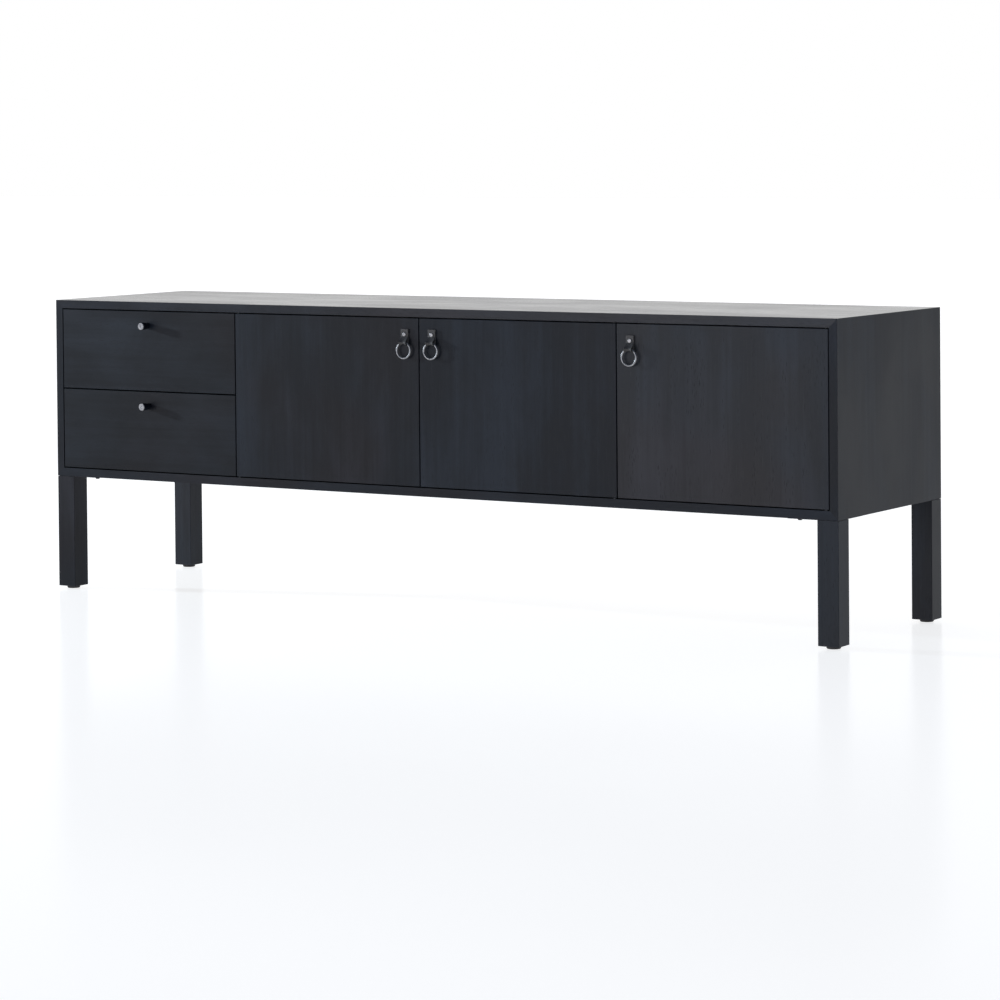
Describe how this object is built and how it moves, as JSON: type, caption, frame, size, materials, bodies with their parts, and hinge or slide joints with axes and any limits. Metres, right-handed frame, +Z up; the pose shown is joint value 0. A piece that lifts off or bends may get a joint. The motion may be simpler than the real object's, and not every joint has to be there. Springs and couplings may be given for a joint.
{
  "type": "sideboard with drawers and doors",
  "caption": "Long low sideboard on square legs: a mitred box with inset drawers on peg knobs and doors with ring pulls on leather tabs.",
  "frame": {"origin": "on the floor, under the middle of the object's bounding box", "axes": "+X along the front, towards the door hinged at the side panel; +Z up; the front faces -Y"},
  "size_m": [2.03, 0.519, 0.675],
  "materials": {
    "stained_wood": "black-stained open grain, satin",
    "plywood": "clear-coated birch plywood",
    "dark_board": "black-stained thin board, matte",
    "hardware_steel": "zinc-plated",
    "pewter_steel": "satin pewter",
    "black_leather": "smooth vegetable-tanned, burnished edges",
    "black_plastic": "fine texture"
  },
  "bodies": {
    "case": {"top_panel": "stained_wood", "bottom_panel": "stained_wood", "left_side_panel": "stained_wood", "right_side_panel": "stained_wood", "left_partition": "stained_wood", "right_partition": "stained_wood", "back_panel": "dark_board", "back_screws": "hardware_steel", "double_bay_shelf": "stained_wood", "single_bay_shelf": "stained_wood", "shelf_pins": "hardware_steel", "leg_front_left": "stained_wood", "leg_front_right": "stained_wood", "leg_back_left": "stained_wood", "leg_back_right": "stained_wood", "leg_plates": "hardware_steel", "leg_bolts": "hardware_steel", "foot_glides": "black_plastic", "upper_case_rails": "hardware_steel", "lower_case_rails": "hardware_steel", "case_pivots": "hardware_steel", "door_catches": "black_plastic"},
    "upper_drawer": {"upper_drawer_front": "stained_wood", "upper_drawer_left_side": "plywood", "upper_drawer_right_side": "plywood", "upper_drawer_box_front": "plywood", "upper_drawer_box_back": "plywood", "upper_drawer_bottom": "plywood", "upper_knob": "stained_wood", "upper_knob_bolt": "pewter_steel", "upper_drawer_rails": "hardware_steel"},
    "upper_middle_slide": {"upper_middle_rails": "hardware_steel"},
    "lower_drawer": {"lower_drawer_front": "stained_wood", "lower_drawer_left_side": "plywood", "lower_drawer_right_side": "plywood", "lower_drawer_box_front": "plywood", "lower_drawer_box_back": "plywood", "lower_drawer_bottom": "plywood", "lower_knob": "stained_wood", "lower_knob_bolt": "pewter_steel", "lower_drawer_rails": "hardware_steel"},
    "lower_middle_slide": {"lower_middle_rails": "hardware_steel"},
    "door_1": {"door_1_panel": "stained_wood", "door_1_pivot_leaves": "hardware_steel", "door_1_strike_plate": "hardware_steel", "door_1_leather_tab": "black_leather", "door_1_tab_screw": "pewter_steel"},
    "door_1_ring": {"door_1_ring": "pewter_steel"},
    "door_2": {"door_2_panel": "stained_wood", "door_2_pivot_leaves": "hardware_steel", "door_2_strike_plate": "hardware_steel", "door_2_leather_tab": "black_leather", "door_2_tab_screw": "pewter_steel"},
    "door_2_ring": {"door_2_ring": "pewter_steel"},
    "door_3": {"door_3_panel": "stained_wood", "door_3_pivot_leaves": "hardware_steel", "door_3_strike_plate": "hardware_steel", "door_3_leather_tab": "black_leather", "door_3_tab_screw": "pewter_steel"},
    "door_3_ring": {"door_3_ring": "pewter_steel"}
  },
  "joints": [
    {"name": "upper_drawer_slide", "type": "slide", "parent": "case", "child": "upper_drawer", "axis": [0, -1, 0], "range_m": [0, 0.38]},
    {"name": "upper_middle_slide_travel", "type": "slide", "parent": "case", "child": "upper_middle_slide", "axis": [0, -1, 0], "range_m": [0, 0.19]},
    {"name": "lower_drawer_slide", "type": "slide", "parent": "case", "child": "lower_drawer", "axis": [0, -1, 0], "range_m": [0, 0.38]},
    {"name": "lower_middle_slide_travel", "type": "slide", "parent": "case", "child": "lower_middle_slide", "axis": [0, -1, 0], "range_m": [0, 0.19]},
    {"name": "door_1_hinge", "type": "hinge", "parent": "case", "child": "door_1", "pos_m": [-0.48962, -0.228, 0.4695], "axis": [0, 0, -1], "range_deg": [0, 90]},
    {"name": "door_1_ring_hinge", "type": "hinge", "parent": "door_1", "child": "door_1_ring", "pos_m": [-0.03525, -0.2417, 0.6005], "axis": [-1, 0, 0], "range_deg": [0, 95]},
    {"name": "door_2_hinge", "type": "hinge", "parent": "case", "child": "door_2", "pos_m": [0.48962, -0.228, 0.4695], "axis": [0, 0, 1], "range_deg": [0, 105]},
    {"name": "door_2_ring_hinge", "type": "hinge", "parent": "door_2", "child": "door_2_ring", "pos_m": [0.03525, -0.2417, 0.6005], "axis": [-1, 0, 0], "range_deg": [0, 95]},
    {"name": "door_3_hinge", "type": "hinge", "parent": "case", "child": "door_3", "pos_m": [0.987, -0.228, 0.4695], "axis": [0, 0, 1], "range_deg": [0, 105]},
    {"name": "door_3_ring_hinge", "type": "hinge", "parent": "door_3", "child": "door_3_ring", "pos_m": [0.53263, -0.2417, 0.6005], "axis": [-1, 0, 0], "range_deg": [0, 95]}
  ],
  "couplings": [
    {"joint": "upper_middle_slide_travel", "follows": "upper_drawer_slide", "ratio": 0.5},
    {"joint": "lower_middle_slide_travel", "follows": "lower_drawer_slide", "ratio": 0.5}
  ]
}
